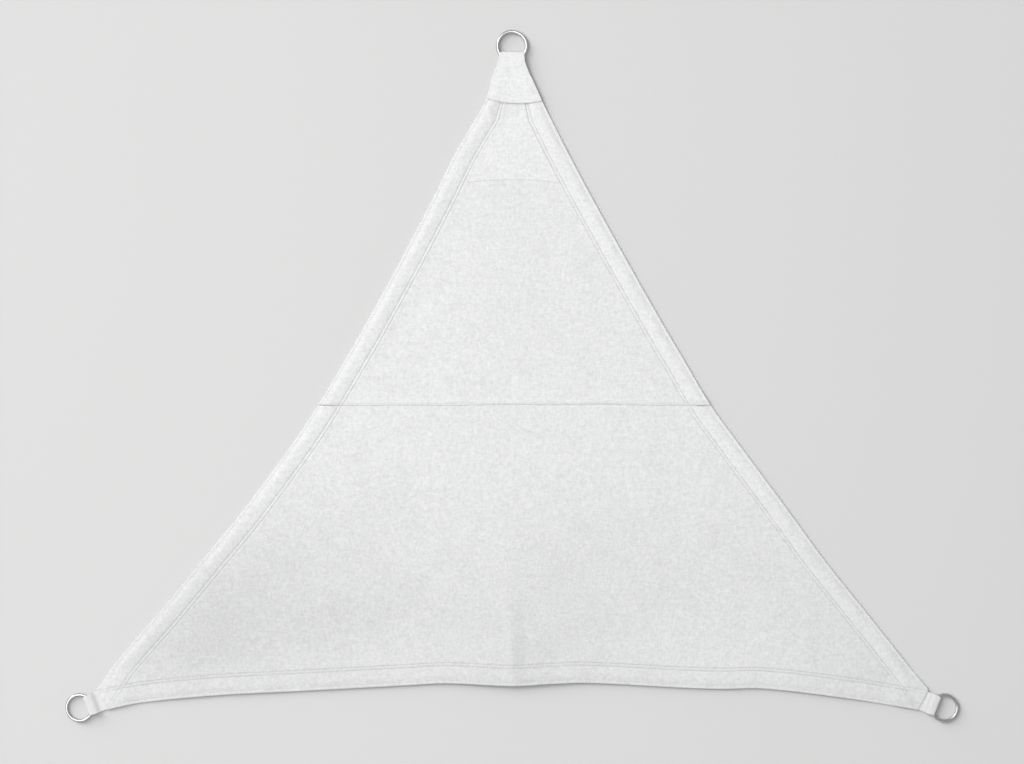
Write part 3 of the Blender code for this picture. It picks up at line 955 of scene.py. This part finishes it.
print("room round a bar", round(BAR_ROOM / MM, 1), "mm")

# %% [markdown]
# ## Sweeping the strip
# The strip is again a grid with an underside. The face is pushed out from the middle line by half the
# cloth's thickness and the underside by as much the other way. On the back leg the face looks down,
# so the normals are made consistent at the end, when the strip is closed.

# %% A closed strip along a line
def folded_strip(name, line, columns, follow, shape, to_world, material, groove):
    """shape gives the outline, and follow lifts the front leg off what lies under it."""
    piece, column, row = flat_grid(name, columns, len(line) - 1)
    along, height, front = line[row].T
    ways = np.gradient(line[:, :2], axis=0)
    ways = ways / np.maximum(np.linalg.norm(ways, axis=1, keepdims=True), 1e-9)
    out_along, out_height = ways[row, 1], -ways[row, 0]
    sidewise, along = shape(column / columns, along, front)
    height = follow(sidewise, along, height, front)
    total = len(along)
    for out, chosen in ((CLOTH / 2, slice(0, total)), (-CLOTH / 2, slice(total, 2 * total))):
        if out < 0:
            add_underside(piece)
        x, y = to_world(sidewise, along + out * out_along)
        move_points(piece, chosen, x, y, height + out * out_height)
    bpy.ops.object.mode_set(mode="EDIT")
    bpy.ops.mesh.select_all(action="SELECT")
    bpy.ops.mesh.normals_make_consistent(inside=False)
    bpy.ops.object.mode_set(mode="OBJECT")
    return finish_sheet(piece, material, groove=groove(sidewise, along, front), layers=np.ones(total),
                        hollow=hollow(*to_world(sidewise, along)))


print("strips are swept half of", CLOTH / MM, "mm to each side")

# %% [markdown]
# ## Cap
# The cap is one piece of canvas folded through the top ring. Its front leg lies over the corner and
# ends in an edge that sags a little to the right of the middle. It is stiff, from being double, so it
# bridges the valleys between the hems and shows them only faintly. A short row of tacking stitches,
# drawn only as a line of painted shade, crosses it below the ring, and its front edge has painted shade.

# %% Cap
CAP_LOW, CAP_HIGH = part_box("top_cap")
CAP_END = TOP_RING_Y - CAP_LOW.y
CAP_FOLD = TOP_RING_Y - CAP_HIGH.y
CAP_BACK_END = 126 * MM
CAP_MEET = 70 * MM          # where the front leg starts to climb towards the ring
CAP_REST = 8.6 * MM
CAP_CROWN = 7.7 * MM        # height of the hems under the cap
CAP_BRIDGE = 0.8            # how far the stiff cap stays up between them
CAP_STEPS = 44
TACK_ALONG, TACK_HALF = 50 * MM, 18 * MM
TOP_WIRE = 4.0 * MM
CAP_OUTLINE = (
    # along, left x, right x
    (12.7, -25.2, 25.2), (18, -27.5, 27.5), (24, -30, 29), (37, -33.5, 30), (63, -42.5, 40),
    (78, -47.5, 47.5), (100, -53, 57.5), (134, -62, 72.5),
)


def cap_shape(share, along, front):
    """Outline of the cap, with a front edge that sags in the middle."""
    sag = (38.5 * share - 33.5 * share * share - 12) * MM
    along = along + sag * front
    left, right = curve_through(CAP_OUTLINE, LEFT, along), curve_through(CAP_OUTLINE, RIGHT, along)
    return left + (right - left) * share, along


def cap_follow(x, along, height, front):
    """The front leg lies on the corner under it; towards the ring it rises to clear the bar."""
    y = TOP_RING_Y - along
    under = np.where(y < TUCK_Y, upper_heights(x, y)[1], 0)
    under = under + CAP_BRIDGE * np.maximum(0.0, CAP_CROWN - under) + 0.55 * MM + CLOTH / 2
    lying = ease((along - CAP_MEET) / (14 * MM)) * (front > 0)
    from_end = (1 - front) * (CAP_END - CAP_MEET)
    dip = sum(line_at(from_end, row, 1.6 * MM) for row in LAP_ROWS) * (front > 0)
    free = ease((along - 20 * MM) / (20 * MM)) * (height > 4 * MM)
    soft = 0.45 * MM * ripple(y, x, 71, 60 * MM, 18 * MM) * free * (1 - lying * 0.6)
    return height + (under - height) * lying + soft - 0.3 * MM * dip * lying


def cap_groove(across, along, front):
    """Painted shade at the front edge and in the tacking row, and a little lighter elsewhere."""
    edge = front > 1 - 1.2 / CAP_STEPS
    tack = line_at(along, TACK_ALONG, 1.3 * MM) * (abs(across) < TACK_HALF)
    return 1.1 * edge - 0.15 + 0.4 * tack


def cap_place(across, along):
    return across, TOP_RING_Y - along


cap_line = loop_line(TOP_OUTER, TOP_WIRE, CAP_FOLD, CAP_END, CAP_BACK_END, CAP_MEET, CAP_REST,
                     (CAP_STEPS, 14, 16, 24))
cap = folded_strip("canvas_cap", cap_line, 44, cap_follow, cap_shape, cap_place, CANVAS, cap_groove)
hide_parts("top_cap")

# %% [markdown]
# ## Tabs
# Each lower ring hangs in a short folded tab of webbing, sewn between the layers of its corner. It
# points up into the sail, in line with the pull, and two close stitch rows, drawn only as lines of
# painted shade, cross it beside the ring.
# The two tabs are mirror images, so one rule of place takes the side as a sign.

# %% Tabs at the lower corners
LOWER_WIRE = 3.5 * MM
TAB_FOLD = 15.2 * MM
TAB_END = 94 * MM
TAB_MEET = 48 * MM
TAB_LOW = 26.3 * MM         # the tab hangs a little below the line from the ring
TAB_HIGH = 20.6 * MM
TAB_ROWS = (37 * MM, 40 * MM)


def tab_shape(share, along, front):
    """The tab is drawn in a little where it bends over the bar."""
    drawn_in = 1 - ease((along - 14 * MM) / (12 * MM))
    low, high = -TAB_LOW + 2 * MM * drawn_in, TAB_HIGH - 1 * MM * drawn_in
    return low + (high - low) * share, along


def tab_follow(across, along, height, front):
    """Small waves and softened edges, on the free part of the front leg."""
    free = ease((along - 22 * MM) / (14 * MM)) * (height > 3.2 * MM) * ease((56 * MM - along) / (8 * MM))
    edge = 0.5 * MM * ease((abs(across) - 16 * MM) / (5 * MM))
    return height + free * (0.3 * MM * ripple(across, along, 83, 30 * MM, 9 * MM) - edge)


def tab_groove(across, along, front):
    # painted shade along the two stitch rows
    return sum(0.7 * line_at(along, row, 1.2 * MM) for row in TAB_ROWS)


def tab_place(sign):
    """Places on the tab of one side: the sign is -1 on the left and 1 on the right."""
    c, s = math.cos(TAB_TURN), math.sin(TAB_TURN)

    def to_world(across, along):
        return sign * (RING_X - along * c + across * s), LOWER_RING_Y + along * s + across * c

    return to_world


tabs = {}
tab_line = loop_line(LOWER_OUTER, LOWER_WIRE, TAB_FOLD, TAB_END, TAB_END, TAB_MEET,
                     CLOTH * 1.5 + GAP, (22, 14, 14, 20))
for side, sign in (("left", -1), ("right", 1)):
    tabs[side] = folded_strip("webbing_tab_" + side, tab_line, 22, tab_follow, tab_shape,
                              tab_place(sign), WEBBING, tab_groove)
    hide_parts(side + "_tab")

# %% [markdown]
# ## Rings
# Each ring is round bar bent to a circle and butt-welded. A torus is the whole shape; its points are
# moved a little at the weld, where dressing leaves the bar slightly full. It leans, because the tab
# under one side holds it off the surface.

# %% Rings
WELD_HALF_MM = 2.2
WELD_FULL = 0.05            # how much fuller the bar is at the weld
RING_TURNS = {
    "top_ring": 0.0,
    "left_ring": math.pi / 2 + TAB_TURN,
    "right_ring": -math.pi / 2 - TAB_TURN,
}


def make_ring(node, wire, weld_turn):
    low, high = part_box(node)
    outer = (high.x - low.x) / 2
    radius = outer - wire
    near = CLOTH + BAR_ROOM + wire
    tilt = math.asin((near - wire) / (2 * radius))
    deselect_all()
    bpy.ops.mesh.primitive_torus_add(
        location=((low.x + high.x) / 2, (low.y + high.y) / 2, (near + wire) / 2),
        rotation=(-tilt, 0.0, RING_TURNS[node]), major_radius=radius, minor_radius=wire,
        major_segments=128, minor_segments=32,
    )
    ring = bpy.context.object
    ring.name = "steel_" + node
    points = read_points(ring)
    angle = np.arctan2(points[:, 1], points[:, 0])
    far = radius * abs((angle - weld_turn + math.pi) % (2 * math.pi) - math.pi) / MM
    full = 1 + WELD_FULL * np.exp(-(far / WELD_HALF_MM) ** 2)
    core = np.stack([radius * np.cos(angle), radius * np.sin(angle), 0 * angle], 1)
    points = core + (points - core) * full[:, None]
    ring.data.vertices.foreach_set("co", points.ravel())
    bpy.ops.object.transform_apply(location=True, rotation=True, scale=True)
    bpy.ops.object.shade_smooth()
    ring.data.materials.append(STEEL)
    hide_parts(node)
    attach(ring, "root")
    print(ring.name, "outer", round(outer / MM, 1), "bar", round(2 * wire / MM, 1))


for node, wire, weld in (("top_ring", TOP_WIRE, -1.9), ("left_ring", LOWER_WIRE, -1.2),
                         ("right_ring", LOWER_WIRE, -1.9)):
    make_ring(node, wire, weld)

# %% [markdown]
# ## One stitch
# A lockstitch shows as a row of short rounded threads that dip into the cloth at each end. One
# stitch is modelled: a six-sided bar, cut twice across so that it can bend, with its middle raised
# and its ends thinned. A bump texture could hint at it, but wouldn't break the light at the edges.

# %% One stitch
STITCH_LENGTH = 4.0 * MM
THREAD_RADIUS = 0.42 * MM


def one_stitch():
    """Points and faces of a stitch along X, from a primitive cylinder."""
    deselect_all()
    bpy.ops.mesh.primitive_cylinder_add(vertices=6, radius=THREAD_RADIUS, depth=STITCH_LENGTH,
                                        end_fill_type="TRIFAN", rotation=(0.0, math.pi / 2, 0.0))
    stitch = bpy.context.object
    bpy.ops.object.transform_apply(location=False, rotation=True, scale=False)
    bpy.ops.object.mode_set(mode="EDIT")
    bpy.ops.mesh.select_all(action="SELECT")
    for share in (-0.25, 0.25):
        bpy.ops.mesh.bisect(plane_co=(share * STITCH_LENGTH, 0.0, 0.0), plane_no=(1.0, 0.0, 0.0))
        bpy.ops.mesh.select_all(action="SELECT")
    bpy.ops.object.mode_set(mode="OBJECT")
    points = read_points(stitch)
    faces = [list(face.vertices) for face in stitch.data.polygons]
    bpy.data.objects.remove(stitch, do_unlink=True)
    middle = 1 - (2 * points[:, 0] / STITCH_LENGTH) ** 2
    points[:, 2] += 0.35 * MM * middle
    points[:, 1:] *= (0.62 + 0.38 * middle)[:, None]
    return points, faces


STITCH_POINTS, STITCH_FACES = one_stitch()
print("a stitch has", len(STITCH_FACES), "faces")

# %% [markdown]
# ## Rows of stitches
# The stitch is copied along each row at an even pitch, turned with the row and set on the cloth's own
# height. All the stitches of one part of the sail are one mesh, which keeps thousands of them light.

# %% Copies along a row
STITCH_PITCH = 5.0 * MM
SUNK = 0.12 * MM            # how far a stitch's middle line stands over the cloth


def stitch_rows(name, rows, height):
    """One mesh of stitches along rows of (x, y) points, on the face that height gives."""
    all_points, all_faces = [], []
    for row in rows:
        steps = np.linalg.norm(np.diff(row, axis=0), axis=1)
        run = np.concatenate([[0.0], np.cumsum(steps)])
        places = np.arange(STITCH_PITCH, run[-1] - STITCH_PITCH, STITCH_PITCH)
        x, y = np.interp(places, run, row[:, 0]), np.interp(places, run, row[:, 1])
        ahead_x, ahead_y = (np.interp(places + MM, run, row[:, axis]) for axis in (0, 1))
        turn = np.arctan2(ahead_y - y, ahead_x - x)
        z = height(x, y)[1] + SUNK
        for i in range(len(places)):
            c, s = math.cos(turn[i]), math.sin(turn[i])
            px = STITCH_POINTS[:, 0] * c - STITCH_POINTS[:, 1] * s + x[i]
            py = STITCH_POINTS[:, 0] * s + STITCH_POINTS[:, 1] * c + y[i]
            first = len(all_points) * len(STITCH_POINTS)
            all_points.append(np.stack([px, py, STITCH_POINTS[:, 2] + z[i]], 1))
            all_faces += [[first + k for k in face] for face in STITCH_FACES]
    mesh = bpy.data.meshes.new(name)
    mesh.from_pydata(np.concatenate(all_points).tolist(), [], all_faces)
    mesh.materials.append(THREAD)
    mesh.shade_smooth()
    mesh.attributes.new("layers", "FLOAT", "POINT").data.foreach_set(
        "value", np.ones(len(mesh.vertices), np.float32))
    piece = bpy.data.objects.new(name, mesh)
    bpy.context.scene.collection.objects.link(piece)
    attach(piece, "root")
    print(name, len(all_points), "stitches")


print("a stitch every", STITCH_PITCH / MM, "mm")

# %% [markdown]
# ## Where the rows run
# Two rows hold each hem, from just under the cap down to the lower corners, where they cross those of
# the lower hem. One row holds the lap of the seam. The patch, cap and tabs have their rows only in
# relief or as lines of painted shade, because no single thread could be told apart there.

# %% Rows of the hems and the seam
def side_row(side, offset, low_y, high_y):
    """A row down a side hem."""
    y = np.linspace(high_y, low_y, 160)
    return np.stack([side_line(side, y) + inward(side) * offset * hem_scale(side, y), y], 1)


def lower_row(offset):
    """A row along the lower hem."""
    x = np.linspace(-925 * MM, 925 * MM, 400)
    return np.stack([x, lower_line(x) + offset * stretch_of(lower_line, x)], 1)


def level_row(y, inset):
    """A row straight across the sail."""
    y = np.full(60, y)
    left, right = side_line(LEFT, y) + inset, side_line(RIGHT, y) - inset
    return np.stack([left + (right - left) * np.linspace(0, 1, 60), y], 1)


HEM_ROWS = [(side, row) for side in (LEFT, RIGHT) for row in STITCH_ROWS]
stitch_rows("stitches_upper_hems",
            [side_row(side, row, SEAM_Y + 4 * MM, 634 * MM) for side, row in HEM_ROWS],
            upper_heights)
stitch_rows("stitches_lower_hems",
            [side_row(side, row, -748 * MM, SEAM_Y - 5 * MM) for side, row in HEM_ROWS],
            lower_heights)
stitch_rows("stitches_bottom_hem", [lower_row(row) for row in STITCH_ROWS], lower_heights)
stitch_rows("stitches_seam", [level_row(SEAM_Y + row, 12 * MM) for row in LAP_ROWS], upper_heights)

# %% [markdown]
# ## Riding on the one body
# Everything rides on the one body. A table lists each cloth piece with a slot, the rectangle it
# was cut from and what it rests on; the loop below only sets the riding. The panels are trapezoids.

SAIL_PIECES = (
    # piece, slot, flat width, flat length, rests on
    (upper, "canvas", 1.02, 0.80, ["lower_panel"]),
    (lower, "canvas", 2.04, 0.81, []),
    (patch, "canvas", 0.24, 0.20, ["upper_panel"]),
    (cap, "canvas", 0.15, 0.27, ["upper_panel"]),
    (tabs["left"], "webbing", 0.045, 0.17, []),
    (tabs["right"], "webbing", 0.045, 0.17, []),
)

for piece, slot, width, length, rests in SAIL_PIECES:
    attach(piece, "root")
